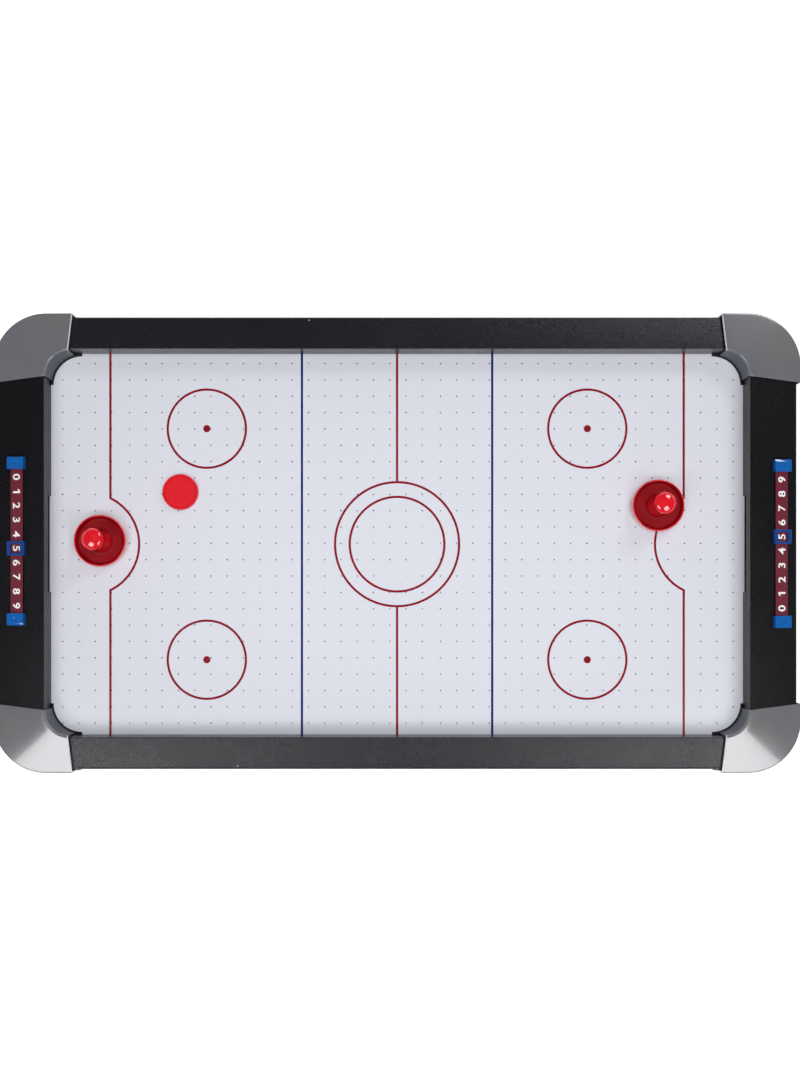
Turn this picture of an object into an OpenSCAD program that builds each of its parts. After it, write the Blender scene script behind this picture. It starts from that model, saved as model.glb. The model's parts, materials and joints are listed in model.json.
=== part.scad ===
// Tabletop air hockey game.
// A white playing surface is framed by hollow black rails that fall gently outwards. Black corner
// brackets plug into the rail ends, and grey caps cover them. A fan in the base panel blows into the
// space under the playing surface. Each end has a goal with a pocket, and a sliding score counter.
// Millimetres, +Z up, +X along the table, origin on the standing surface under the table's middle.

/* [Playing surface] */
// Length of the playing surface between the end rails
field_l = 800; // [760:5:840]
// Width of the playing surface between the side rails
field_w = 440; // [420:5:460]
// Thickness of the playing surface panel
field_t = 3; // [2.5:0.5:3.5]
// Height of the rails' inner edge above the playing surface
wall_h = 30; // [29:1:34]

/* [Rails] */
// Width of each side rail
side_rail_w = 37; // [36:1:42]
// Width of each end rail
end_rail_w = 55; // [54:1:60]
// Outward fall of the rail tops, in degrees
rail_fall = 6; // [4:0.5:7]
// Wall thickness of the rail extrusions
rail_skin = 2.5; // [2.2:0.1:2.8]
// Depth of the rails below the playing surface
base_h = 55; // [54:1:60]

/* [Corners] */
// How far the corner caps stand out past the rails
cap_proud = 4; // [4:0.5:5]
// Outer corner radius seen from above
corner_r = 60; // [57:1:63]
// Inner corner radius of the caps seen from above
cap_inner_r = 28; // [27:1:29]
// Wall thickness of the corner caps
cap_skin = 2.5; // [2:0.1:2.5]

/* [Goals] */
// Width of each goal mouth
goal_w = 111; // [100:1:120]
// Height of each goal mouth
goal_h = 12; // [10:1:14]

/* [Score counters] */
// Distance between two digits of a counter
digit_pitch = 16.2; // [15.5:0.1:17]
// Score that both counters show
score_shown = 5; // [0:1:9]

/* [Mallets and puck] */
// Diameter of a mallet's base
mallet_d = 59.5; // [57:0.5:62]
// Height of a mallet with its pad
mallet_h = 51; // [48:1:54]
// Puck diameter
puck_d = 41; // [38:0.5:42]
// Puck thickness
puck_t = 5; // [4:0.5:6]

/* [Base and fan] */
// Height of the feet with their pads
foot_h = 20; // [18:1:26]
// Thickness of the base panel
panel_t = 3; // [2.5:0.5:3.5]
// Side of the square fan housing
fan_size = 80; // [78:1:84]
// Number of fan blades
fan_blades = 7; // [5:1:9]

/* [Hidden] */

// Curve quality: long arcs, ordinary round parts, small bores
fn_arc = 96;
fn_round = 64;
fn_small = 24;
// Clearance between fitted parts, and how far a cutting tool runs past a face
fit = 0.1;
cut = 1;

// Heights
z_rail = foot_h;
z_field = z_rail + base_h;
z_under = z_field - field_t;
z_top = z_field + wall_h;
z_panel = z_rail + 4;
z_floor = z_panel + panel_t;
fall = tan(rail_fall);

// Rail extrusion: panel grooves, the blocks round them, and the inner web
groove_d = 6;
block_d = groove_d + rail_skin;
web_z = z_rail + 38;

// Rail ends, measured back from the inner corner of the playing surface
side_cut = 20;
end_cut = 24;

// Corner frame: a points outwards along X and b outwards along Y, both from the inner corner
cap_a = end_rail_w + cap_proud;
cap_b = side_rail_w + cap_proud;
arc_a = cap_a - corner_r;
arc_b = cap_b - corner_r;
cap_inset = 2;
cap_c = cap_inner_r + cap_inset;
cap_inner_t = 1.9;
z_crest = z_top + 3;
skirt_z = z_top - 33;
arm_reach = 20;
side_seam = [28, 32];
end_seam = [31, 38];

// Groove across a side rail's top, just past the cap's seam
groove_w = 2.2;
groove_deep = 1.8;

// Corner bracket
bracket_t = 3;
guard_in = 3;
guard_r = 33;
guard_c = guard_r + guard_in;
z_guard = z_field + 2;
wall_foot_r = guard_r + 1.4;
z_post = z_top - 13;
cheek_z = z_rail + 63;
cheek_taper = 12;
cheek_tip = 0.5;
tongue_l = 30;
tongue_gap = 0.5;

// Foot, and the long screw that holds foot, bracket and cap together
foot_a = 18;
foot_b = 8;
foot_r = 20;
pad_t = 4;
screw_r = 2.4;
screw_bore = screw_r + fit;
screw_head_r = 5;
screw_head_t = 3.5;
boss_r = 5;
boss_z = z_rail + 36;
screw_top = z_rail + 56;
small_head_r = 3.2;
small_head_t = 2;

// Goal pocket in the end rail
box_skin = 2;
box_half = goal_w / 2 + 4.5;
box_low = z_rail + 18;
box_high = z_field + 17;
box_out = end_rail_w - rail_skin - fit;
flange_t = 1.5;
flange_w = 12;
notch_in = 2;
return_half = goal_w / 2 - 12;
return_low = box_low + 4;
return_high = z_field - 3;
floor_fall = [9, 3];
flange_screw_z = z_rail + 30;

// Score counter, in a frame lying on the sloping rail top
score_in_left = 30.5;
score_in_right = 35.5;
score_y_left = 2;
score_y_right = -1;
strip_w = 14;
strip_base_w = 10;
strip_base_h = 1.4;
strip_h = 3.2;
score_gap = 10 * digit_pitch + 1;
strip_tail = 3;
end_block = [19, 13.7, 8];
pin_r = 1.5;
pin_l = 4;
slider = [20, 16.4, 6.8];
window = [12.4, 10.6];
slide_gap = 0.15;
score_offset = (4.5 - score_shown) * digit_pitch;

// Mallets and puck on the playing surface
float_gap = 0.05;
pad_h = 1;
mallet_left_at = [-341, 3.5];
mallet_right_at = [300, 44];
puck_at = [-250, 60];

// Fan: housing bore, hub, motor and rotor
fan_h = 25;
fan_bore = fan_size / 2 - 2;
fan_hole = fan_size / 2 - 4.25;
fan_screw_r = 2;
fan_screw_bore = fan_screw_r + fit;
fan_screw_head = [3.8, 2.4];
tube_top = z_floor + 15;
motor_top = z_floor + 13;
duct_gap = 1.2;
grille_rings = [12, 24];
grille_bar = 1.5;
hub_r = 16;
hub_t = 3;
tube_r = 4;
shaft_r = 1.5;
shaft_gap = 0.05;
motor_r = 13;
cup_r = 17;
cup_t = 2.5;
blade = [24, 1.6];
blade_pitch = 38;
grille_z = z_panel - 3;

// Switch and power inlet in the back rail
switch_x = 250;
jack_x = 282;
power_z = z_rail + 20;
back_y = field_w / 2 + side_rail_w;
bezel = [15, 21, 1.6];
bezel_body = [12.8, 18.8, 13];
bezel_open = [10.5, 16.5];
rocker_w = 10;
rocker_r = 8;
rocker_tilt = 7;
pivot_in = 3;
pivot_r = 1;
pivot_gap = 0.06;
pivot_l = 0.9;
rocker_nose = 3.4;
rocker_back = 4;
jack_r = 5.5;
jack_bore = 2.75;
jack_lip = 1.8;
jack_depth = 14;
jack_pin_r = 1;
wire_r = 1.1;
wire_bulge = 1.12;
wire_hole_z = z_rail + 16;
wire_hole_r = 4;

// Posts that carry the playing surface
post_at = [for (x = [-260, 0, 260], y = [-130, 130]) [x, y]];
post_r = 10;
post_bore = 1.6;

black = [0.13, 0.13, 0.14];
deep_black = [0.06, 0.06, 0.07];
grey = [0.45, 0.47, 0.51];
white = [0.88, 0.9, 0.95];
copper = [0.72, 0.42, 0.2];
wire_red = [0.55, 0.05, 0.05];
blue = [0.02, 0.32, 0.64];
maroon = [0.46, 0.18, 0.24];
red = [0.82, 0.08, 0.13];
board = [0.55, 0.42, 0.3];
steel = [0.7, 0.7, 0.72];

// Height of the sloping rail top at a distance r from the rail's inner face
function rail_top(r) = z_top - r * fall;

// The children, drawn for the back right corner, moved to the corner with signs sx and sy
module at_corner(sx, sy) {
  mirror([sx < 0 ? 1 : 0, 0, 0]) mirror([0, sy < 0 ? 1 : 0, 0])
    translate([field_l / 2, field_w / 2, 0]) children();
}

// The children, drawn for the right end, put at the end with sign sx
module at_end(sx) {
  mirror([sx < 0 ? 1 : 0, 0, 0]) translate([field_l / 2, 0, 0]) children();
}

// A box between two corners
module block(low, high) {
  translate(low) cube(high - low);
}

// A cylinder standing on z0 and ending at z1
module rod(r, z0, z1, n) {
  translate([0, 0, z0]) cylinder(r = r, h = z1 - z0, $fn = n);
}

// Rail section from its inner face (x = 0) to its outer face (x = w)
module rail_outline(w) {
  edge = 3;
  corner = 0.3 * edge;
  nick = 0.6;
  polygon([[0, z_rail], [w, z_rail], [w, rail_top(w) - edge], [w - corner, rail_top(w) - corner],
    [w - edge, rail_top(w - edge)], [nick, rail_top(nick)], [0, z_top - nick]]);
}

// Hollow above the web, stepped round the playing surface's groove
module upper_hollow(w) {
  polygon([[rail_skin, web_z + rail_skin], [w - rail_skin, web_z + rail_skin],
    [w - rail_skin, rail_top(w) - 2 * rail_skin], [rail_skin, rail_top(0) - 1.2 * rail_skin],
    [rail_skin, z_field + rail_skin], [block_d, z_field + rail_skin], [block_d, z_under - rail_skin],
    [rail_skin, z_under - rail_skin]]);
}

// Hollow below the web, stepped round the base panel's groove
module lower_hollow(w) {
  polygon([[rail_skin, web_z], [w - rail_skin, web_z], [w - rail_skin, z_rail + rail_skin],
    [block_d, z_rail + rail_skin], [block_d, z_floor + rail_skin], [rail_skin, z_floor + rail_skin]]);
}

// A length of rail lying along Y with its inner face at x = 0
module rail(w, length) {
  difference() {
    rotate([90, 0, 0]) linear_extrude(length, center = true) rail_outline(w);
    rotate([90, 0, 0]) linear_extrude(length + 2 * cut, center = true) upper_hollow(w);
    rotate([90, 0, 0]) linear_extrude(length + 2 * cut, center = true) lower_hollow(w);
    block([-cut, -length / 2 - cut, z_under - fit],
      [groove_d + 2 * fit, length / 2 + cut, z_field + fit]);
    block([-cut, -length / 2 - cut, z_panel - fit],
      [groove_d + 2 * fit, length / 2 + cut, z_floor + fit]);
  }
}

// Groove for one end of a side rail: a slanting slot as deep as groove_deep under the sloping top
module seam_groove() {
  side_slope = (side_seam[1] - side_seam[0]) / (cap_b + cap_inset);
  reach = side_rail_w + cut;
  near = side_seam[0] + side_slope * (cap_inset - cut);
  far = side_seam[0] + side_slope * (cap_inset + reach);
  intersection() {
    linear_extrude(z_crest + cut) polygon([[-near, -cut], [-far, reach], [-far - groove_w, reach],
      [-near - groove_w, -cut]]);
    rotate([90, 0, -90]) linear_extrude(2 * side_seam[1]) polygon([
      [cut, rail_top(-cut) - groove_deep], [cut, z_crest],
      [-reach, z_crest], [-reach, rail_top(reach) - groove_deep]]);
  }
}

// Plain side rail for the back, lying along X
module side_rail_blank() {
  difference() {
    translate([0, field_w / 2, 0]) rotate(90) mirror([0, 1, 0])
      rail(side_rail_w, field_l - 2 * side_cut);
    for (sx = [-1, 1]) at_corner(sx, 1) seam_groove();
  }
}

module side_rail_front() {
  color(black) mirror([0, 1, 0]) side_rail_blank();
}

// The back rail holds the switch and the power inlet, and lets the wires through
module side_rail_back() {
  color(black) difference() {
    side_rail_blank();
    block([switch_x - bezel_body[0] / 2 - fit, back_y - 2 * rail_skin, power_z - bezel_body[1] / 2 - fit],
      [switch_x + bezel_body[0] / 2 + fit, back_y + cut, power_z + bezel_body[1] / 2 + fit]);
    translate([jack_x, back_y + cut, power_z]) rotate([90, 0, 0])
      rod(jack_r + fit, 0, 3 * rail_skin, fn_small);
    translate([switch_x, field_w / 2 - cut, wire_hole_z]) rotate([-90, 0, 0])
      rod(wire_hole_r, 0, 2 * rail_skin, fn_small);
  }
}

// End rail for the right, with the goal mouth, room for the pocket, and holes for the counter's pins
module end_rail(score_in, score_y) {
  color(black) difference() {
    translate([field_l / 2, 0, 0]) rail(end_rail_w, field_w - 2 * end_cut);
    translate([field_l / 2, 0, 0]) {
      block([-cut, -goal_w / 2, z_field - cut], [2 * rail_skin, goal_w / 2, z_field + goal_h]);
      block([-cut, -box_half - fit, box_low - fit], [box_out + fit, box_half + fit, z_under - fit]);
      block([rail_skin, -box_half - fit, z_under - 2 * fit],
        [box_out + fit, box_half + fit, box_high + fit]);
      block([box_out - cut, -return_half, return_low], [end_rail_w + cut, return_half, return_high]);
      for (s = [-1, 1])
        translate([-cut, s * (box_half + flange_w / 2), flange_screw_z]) rotate([0, 90, 0])
          rod(post_bore, 0, 2 * rail_skin, fn_small);
    }
    score_frame(score_in, score_y) for (s = [-1, 1], x = [-1, 1])
      translate([x * end_block[0] / 4, s * (score_gap + end_block[1]) / 2, 0])
        rod(pin_r + fit / 2, -2 * pin_l, cut, fn_small);
  }
}

module end_rail_left() {
  mirror([1, 0, 0]) end_rail(score_in_left, score_y_left);
}

module end_rail_right() {
  end_rail(score_in_right, score_y_right);
}

// Playing surface, notched where a puck drops into each goal
module playfield() {
  color(white) difference() {
    block([-field_l / 2 - groove_d, -field_w / 2 - groove_d, z_under],
      [field_l / 2 + groove_d, field_w / 2 + groove_d, z_field]);
    for (sx = [-1, 1]) at_end(sx)
      block([notch_in, -box_half, z_under - cut], [groove_d + cut, box_half, z_field + cut]);
  }
}

// Base panel with the fan's air hole and its screw holes
module bottom_panel() {
  color(board) difference() {
    block([-field_l / 2 - groove_d, -field_w / 2 - groove_d, z_panel],
      [field_l / 2 + groove_d, field_w / 2 + groove_d, z_floor]);
    rod(fan_bore, z_panel - cut, z_floor + cut, fn_arc);
    for (sx = [-1, 1], sy = [-1, 1])
      translate([sx * fan_hole, sy * fan_hole, 0])
        rod(fan_screw_bore, z_panel - cut, z_floor + cut, fn_small);
    for (p = post_at) translate(p) rod(post_bore + fit, z_panel - cut, z_floor + cut, fn_small);
  }
}

// Box with a large rounded outer corner, drawn in the corner frame; inset shrinks the outer faces
module corner_solid(inset, a0, b0, z0, z1) {
  difference() {
    block([a0, b0, z0], [cap_a - inset, cap_b - inset, z1]);
    difference() {
      block([arc_a, arc_b, z0 - cut], [cap_a + cut, cap_b + cut, z1 + cut]);
      translate([arc_a, arc_b, 0]) rod(corner_r - inset, z0 - 2 * cut, z1 + 2 * cut, fn_arc);
    }
  }
}

// Box open at one end that plugs into a rail hollow; open moves its cavity out through that end
module tongue(low, high, open) {
  skin = [bracket_t, bracket_t, bracket_t];
  difference() {
    block(low, high);
    block(low + skin - open, high - skin);
  }
}

// Cheek that wraps the outside of a rail end: seen from above it tapers down to the rail's face.
// It is drawn along a side rail: x runs along the rail, y outwards from the rail's outer face.
module cheek(seam, start, inner) {
  linear_extrude(skirt_z - fit - z_rail) polygon([[-start, fit], [-seam - cheek_taper, fit],
    [-seam - cheek_taper, cheek_tip], [-seam - 1, cap_proud], [-start, cap_proud]]);
  linear_extrude(cheek_z - z_rail) polygon([[-start, fit], [-seam - cheek_taper, fit],
    [-seam - cheek_taper, cheek_tip], [-seam - 1, cap_proud], [-seam - 1, inner], [-start, inner]]);
}

// Corner bracket: a hollow post with tongues for both rails, cheeks, and a guard round the corner
module corner_bracket() {
  inner = cap_proud - cap_skin - fit;
  hollow = cap_skin + fit + bracket_t;
  color(deep_black) difference() {
    union() {
      corner_solid(cap_skin + fit, -side_cut, -end_cut, z_rail, z_post);
      corner_solid(0, -side_cut, -end_cut, z_rail, skirt_z - fit);
      translate([0, side_rail_w, z_rail]) cheek(side_seam[1], side_cut, inner);
      translate([end_rail_w, 0, z_rail]) mirror([1, -1, 0]) cheek(end_seam[1], end_cut, inner);
      block([-guard_c, -guard_c, z_field + fit], [0, 0, z_guard]);
      for (z = [[z_floor + 3, web_z - 2], [web_z + 3, z_post]]) {
        tongue([-side_cut - tongue_l, block_d + tongue_gap, z[0]],
          [-side_cut + cut, side_rail_w - rail_skin - tongue_gap, z[1]], [2 * bracket_t, 0, 0]);
        tongue([block_d + tongue_gap, -end_cut - tongue_l, z[0]],
          [end_rail_w - rail_skin - tongue_gap, -end_cut + cut, z[1]], [0, 2 * bracket_t, 0]);
      }
    }
    corner_solid(hollow, -side_cut + bracket_t, -end_cut + bracket_t, z_panel - fit,
      z_under - bracket_t);
    difference() {
      corner_solid(hollow, -side_cut + bracket_t, -end_cut + bracket_t, z_under - 2 * bracket_t,
        z_post + cut);
      translate([-guard_c, -guard_c, 0])
        rod(guard_r + bracket_t, z_under - 3 * bracket_t, z_post + 2 * cut, fn_arc);
      translate([-cap_c, -cap_c, 0])
        rod(cap_c + bracket_t, z_under - 3 * bracket_t, z_post + 2 * cut, fn_arc);
    }
    translate([-guard_c, -guard_c, 0]) rod(guard_r, z_field - fit, z_post + cut, fn_arc);
    translate([-cap_c, -cap_c, 0]) rod(cap_c, z_guard, z_post + cut, fn_arc);
    for (z = [[z_under, z_field], [z_panel, z_floor]])
      block([-2 * guard_c, -2 * guard_c, z[0] - fit],
        [groove_d + 2 * fit, groove_d + 2 * fit, z[1] + fit]);
    translate([foot_a, foot_b, 0]) rod(screw_bore, z_rail - cut, z_panel + cut, fn_small);
  }
}

module corner_bracket_fl() { at_corner(-1, -1) corner_bracket(); }
module corner_bracket_fr() { at_corner(1, -1) corner_bracket(); }
module corner_bracket_bl() { at_corner(-1, 1) corner_bracket(); }
module corner_bracket_br() { at_corner(1, 1) corner_bracket(); }

// Everything under the cap's sloping top: a quarter turn about the inner arc's centre and two arms
module cap_blank(inner_r, lower, z0) {
  reach = corner_r + cap_a;
  section = [[inner_r, z0], [reach, z0], [reach, z_crest - lower - (reach - cap_inner_r) * fall],
    [inner_r, z_crest - lower - (inner_r - cap_inner_r) * fall]];
  translate([-cap_c, -cap_c, 0]) {
    rotate_extrude(angle = 90, $fn = fn_arc) polygon(section);
    rotate([90, 0, 0]) linear_extrude(arm_reach) polygon(section);
    translate([-arm_reach, 0, 0]) rotate([90, 0, 90]) linear_extrude(arm_reach) polygon(section);
  }
}

// Plan of the cap between its two slanting seams
module cap_plan() {
  side_slope = (side_seam[1] - side_seam[0]) / (cap_b + cap_inset);
  end_slope = (end_seam[1] - end_seam[0]) / (cap_a + cap_inset);
  past = 5;
  back = 10;
  translate([0, 0, skirt_z]) linear_extrude(z_crest - skirt_z + cut) polygon([
    [-side_seam[0] + side_slope * back, -cap_inset - back],
    [-side_seam[1] - side_slope * past, cap_b + past], [cap_a + past, cap_b + past],
    [cap_a + past, -end_seam[1] - end_slope * past],
    [-cap_inset - back, -end_seam[0] + end_slope * back], [-cap_inner_r + 1, -cap_inner_r + 1]]);
}

// Wedge that makes the cap's inner wall lean inwards, down to its foot on the guard
module wall_lean() {
  z0 = z_guard + 2 * fit;
  z1 = z_crest - 1.5;
  difference() {
    intersection() {
      translate([-cap_c, -cap_c, 0]) rod(cap_inner_r + cap_inner_t / 3, z0, z1, fn_arc);
      cap_plan();
    }
    hull() {
      translate([-guard_c, -guard_c, 0]) rod(wall_foot_r, z0 - fit, z0, fn_arc);
      translate([-cap_c, -cap_c, 0]) rod(cap_inner_r, z1, z1 + fit, fn_arc);
    }
  }
}

// Corner cap: a thin shell with a sloping top, a skirt, an inner wall and a screw boss
module corner_cap() {
  wide = 2 * guard_c;
  color(grey) difference() {
    union() {
      difference() {
        intersection() {
          cap_blank(cap_inner_r, 0, skirt_z);
          cap_plan();
          corner_solid(0, -wide, -wide, skirt_z - cut, z_crest + cut);
        }
        intersection() {
          cap_blank(cap_inner_r + cap_inner_t, cap_skin, skirt_z - cut);
          corner_solid(cap_skin, -wide, -wide, skirt_z - 2 * cut, z_crest + cut);
        }
        block([-wide, -wide, skirt_z - cut], [2 * fit, 2 * fit, z_guard + 2 * fit]);
      }
      wall_lean();
      translate([foot_a, foot_b, 0]) rod(boss_r, boss_z, z_crest - 5.5, fn_round);
    }
    translate([foot_a, foot_b, 0]) rod(screw_bore, boss_z - cut, screw_top + 2, fn_small);
  }
}

module corner_cap_fl() { at_corner(-1, -1) corner_cap(); }
module corner_cap_fr() { at_corner(1, -1) corner_cap(); }
module corner_cap_bl() { at_corner(-1, 1) corner_cap(); }
module corner_cap_br() { at_corner(1, 1) corner_cap(); }

// Foot, with a recess underneath for the screw head
module foot() {
  color(deep_black) translate([foot_a, foot_b, 0]) difference() {
    translate([0, 0, pad_t]) cylinder(r1 = foot_r - 2, r2 = foot_r, h = z_rail - pad_t, $fn = fn_round);
    rod(screw_head_r + 1, pad_t - cut, pad_t + screw_head_t + 1, fn_small);
    rod(screw_bore, pad_t, z_rail + cut, fn_small);
  }
}

module foot_fl() { at_corner(-1, -1) foot(); }
module foot_fr() { at_corner(1, -1) foot(); }
module foot_bl() { at_corner(-1, 1) foot(); }
module foot_br() { at_corner(1, 1) foot(); }

// Rubber pad under a foot
module foot_pad() {
  color(deep_black) translate([foot_a, foot_b, 0]) rod(foot_r - 3, 0, pad_t, fn_round);
}

module foot_pad_fl() { at_corner(-1, -1) foot_pad(); }
module foot_pad_fr() { at_corner(1, -1) foot_pad(); }
module foot_pad_bl() { at_corner(-1, 1) foot_pad(); }
module foot_pad_br() { at_corner(1, 1) foot_pad(); }

// Pan head screw standing head down at the origin, with its head's top face at z = 0
module screw(r, head_r, head_t, length) {
  rod(head_r, -head_t, 0, fn_small);
  rod(r, -head_t, length, fn_small);
}

module corner_screws() {
  head_top = pad_t + screw_head_t + 1;
  color(steel) for (sx = [-1, 1], sy = [-1, 1]) at_corner(sx, sy)
    translate([foot_a, foot_b, head_top])
      screw(screw_r, screw_head_r, screw_head_t, screw_top - head_top);
}

// Posts between the base panel and the playing surface
module support_posts() {
  color(black) for (p = post_at) translate(p) difference() {
    rod(post_r, z_floor, z_under - fit, fn_round);
    rod(post_bore, z_floor - cut, z_floor + 16, fn_small);
  }
}

module post_screws() {
  color(steel) for (p = post_at) translate([p[0], p[1], z_panel])
    screw(post_bore - fit, small_head_r, small_head_t, 15);
}

// Goal pocket: a tray inside the end rail whose floor falls outwards to the return opening
module goal_box() {
  color(deep_black) difference() {
    union() {
      block([-flange_t - fit, -box_half, box_low], [box_out, box_half, z_under - 2 * fit]);
      block([rail_skin + fit, -box_half, box_low], [box_out, box_half, box_high]);
      block([-flange_t - fit, -box_half - flange_w, box_low - 4],
        [-fit, box_half + flange_w, z_under - 4 * fit]);
    }
    difference() {
      block([box_skin, -box_half + box_skin, box_low + box_skin],
        [box_out - box_skin, box_half - box_skin, box_high + cut]);
      rotate([90, 0, 0]) linear_extrude(2 * box_half, center = true)
        polygon([[0, box_low], [end_rail_w, box_low], [end_rail_w, box_low + floor_fall[1]],
          [0, box_low + floor_fall[0]]]);
    }
    block([0, -box_half + box_skin, z_under - fit],
      [2 * rail_skin, box_half - box_skin, box_high + cut]);
    block([box_out - 2 * box_skin, -return_half, return_low],
      [box_out + cut, return_half, return_high]);
    for (s = [-1, 1])
      translate([-3 * flange_t, s * (box_half + flange_w / 2), flange_screw_z]) rotate([0, 90, 0])
        rod(post_bore, 0, 5 * flange_t, fn_small);
  }
}

module goal_box_left() { at_end(-1) goal_box(); }
module goal_box_right() { at_end(1) goal_box(); }

module goal_box_screws() {
  color(steel) for (sx = [-1, 1], s = [-1, 1]) at_end(sx)
    translate([-flange_t - fit, s * (box_half + flange_w / 2), flange_screw_z])
      rotate([0, 90, 0]) screw(post_bore - fit, small_head_r, small_head_t, 6);
}

// The children, drawn about a counter's middle, laid on the right end rail's sloping top
module score_frame(score_in, score_y) {
  translate([field_l / 2 + score_in, score_y, rail_top(score_in)]) rotate([0, rail_fall, 0]) children();
}

// Printed strip: a wide top on a narrower foot, so that the slider can hook under its edges
module score_strip(score_in, score_y) {
  long = score_gap / 2 + strip_tail;
  color(maroon) score_frame(score_in, score_y) union() {
    block([-strip_base_w / 2, -long, fit], [strip_base_w / 2, long, strip_base_h + cut]);
    block([-strip_w / 2, -long, strip_base_h], [strip_w / 2, long, strip_h]);
  }
}

module score_strip_left() { mirror([1, 0, 0]) score_strip(score_in_left, score_y_left); }
module score_strip_right() { score_strip(score_in_right, score_y_right); }

// End block of a counter: it holds the strip's end and has two pins for the rail; side is -1 or 1
module score_end(score_in, score_y, side) {
  x = end_block[0] / 2;
  y0 = score_gap / 2;
  color(blue) score_frame(score_in, score_y) mirror([0, side < 0 ? 1 : 0, 0]) difference() {
    union() {
      block([-x, y0, fit], [x, y0 + end_block[1], end_block[2]]);
      for (s = [-1, 1]) translate([s * x / 2, y0 + end_block[1] / 2, 0])
        rod(pin_r, -pin_l, cut, fn_small);
    }
    block([-strip_base_w / 2 - fit, y0 - cut, 0],
      [strip_base_w / 2 + fit, y0 + strip_tail + fit, strip_base_h + cut]);
    block([-strip_w / 2 - fit, y0 - cut, strip_base_h - fit],
      [strip_w / 2 + fit, y0 + strip_tail + fit, strip_h + fit]);
  }
}

module score_end_left_front() { mirror([1, 0, 0]) score_end(score_in_left, score_y_left, -1); }
module score_end_left_back() { mirror([1, 0, 0]) score_end(score_in_left, score_y_left, 1); }
module score_end_right_front() { score_end(score_in_right, score_y_right, -1); }
module score_end_right_back() { score_end(score_in_right, score_y_right, 1); }

// Slider with a window for one digit, hooked under the strip's edges
module score_slider(score_in, score_y, offset) {
  x = slider[0] / 2;
  y = slider[1] / 2;
  color(blue) score_frame(score_in, score_y + offset) difference() {
    block([-x, -y, slide_gap], [x, y, slider[2]]);
    block([-strip_base_w / 2 - slide_gap, -y - cut, -cut],
      [strip_base_w / 2 + slide_gap, y + cut, strip_base_h + cut]);
    block([-strip_w / 2 - slide_gap, -y - cut, strip_base_h - slide_gap],
      [strip_w / 2 + slide_gap, y + cut, strip_h + slide_gap]);
    block([-window[0] / 2, -window[1] / 2, strip_h], [window[0] / 2, window[1] / 2, slider[2] + cut]);
  }
}

module score_slider_left() { mirror([1, 0, 0]) score_slider(score_in_left, score_y_left, score_offset); }
module score_slider_right() { score_slider(score_in_right, score_y_right, -score_offset); }

// Mallet: a domed knob on a tapered stem, a dish round it, and a raised rim; hollow underneath
module mallet(at) {
  r = mallet_d / 2;
  top = mallet_h - pad_h - float_gap;
  knob_r = 12.5;
  knob_z = top - 6.3;
  dome = 4;
  rim_h = 12;
  dish_z = 4.2;
  dome_r = (knob_r * knob_r + dome * dome) / (2 * dome);
  dome_angle = asin(knob_r / dome_r);
  color(red) translate([at[0], at[1], z_field + float_gap + pad_h])
    rotate_extrude($fn = fn_arc) difference() {
      polygon(concat([[0, 0], [r - 2, 0], [r - 0.8, 1.4], [r, rim_h - 1.5], [r - 0.5, rim_h - 0.3],
        [r - 1.1, rim_h], [r - 1.6, rim_h - 0.4], [r - 2, rim_h - 1.2], [r - 3.2, dish_z + 1.2],
        [r - 4.6, dish_z], [15, dish_z], [12.8, dish_z + 1], [11.6, 8], [10.6, 14], [9.4, 26],
        [9, knob_z - 4], [knob_r - 1, knob_z], [knob_r, knob_z + 1.4]],
        [for (i = [0:5]) let (t = dome_angle * (1 - i / 5))
          [dome_r * sin(t), top - dome_r + dome_r * cos(t)]]));
      translate([-cut, -cut]) square([r - 4 + cut, dish_z - 1.6 + cut]);
      translate([-cut, -cut]) square([5.5 + cut, top - 6 + cut]);
    }
}

module mallet_left() { mallet(mallet_left_at); }
module mallet_right() { mallet(mallet_right_at); }

// Felt ring under a mallet
module mallet_pad(at) {
  color(deep_black) translate([at[0], at[1], 0]) difference() {
    rod(mallet_d / 2 - 2.2, z_field + float_gap, z_field + float_gap + pad_h, fn_round);
    rod(mallet_d / 2 - 10, z_field - cut, z_field + pad_h + cut, fn_round);
  }
}

module mallet_pad_left() { mallet_pad(mallet_left_at); }
module mallet_pad_right() { mallet_pad(mallet_right_at); }

// Flat puck with a thin raised edge on both faces
module puck() {
  r = puck_d / 2;
  lip = 0.4;
  color(red) translate([puck_at[0], puck_at[1], z_field + float_gap]) rotate_extrude($fn = fn_arc)
    polygon([[0, lip], [r - 2.4, lip], [r - 2, 0], [r - 0.8, 0], [r, 0.8], [r, puck_t - 0.8],
      [r - 0.8, puck_t], [r - 2, puck_t], [r - 2.4, puck_t - lip], [0, puck_t - lip]]);
}

// Fan housing: square frame, round duct, four struts and the bearing tube
module fan_housing() {
  half = fan_size / 2;
  strut_half = 2.5;
  color(deep_black) difference() {
    union() {
      difference() {
        block([-half, -half, z_floor], [half, half, z_floor + fan_h]);
        difference() {
          rod(fan_bore, z_floor - cut, z_floor + fan_h + cut, fn_arc);
          for (t = [0, 90]) rotate(t)
            block([-fan_size, -strut_half, z_floor - 2 * cut],
              [fan_size, strut_half, z_floor + hub_t]);
          rod(hub_r, z_floor - 2 * cut, z_floor + hub_t, fn_round);
        }
      }
      rod(tube_r, z_floor + cut, tube_top, fn_round);
    }
    rod(shaft_r + shaft_gap, z_floor + 1, tube_top + cut, fn_small);
    for (sx = [-1, 1], sy = [-1, 1]) translate([sx * fan_hole, sy * fan_hole, 0])
      rod(fan_screw_bore, z_floor - cut, z_floor + fan_h + cut, fn_small);
  }
}

// Motor winding round the bearing tube
module fan_motor() {
  color(copper) difference() {
    rod(motor_r, z_floor + hub_t + fit, motor_top, fn_round);
    rod(tube_r + fit, z_floor, motor_top + cut, fn_round);
  }
}

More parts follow.
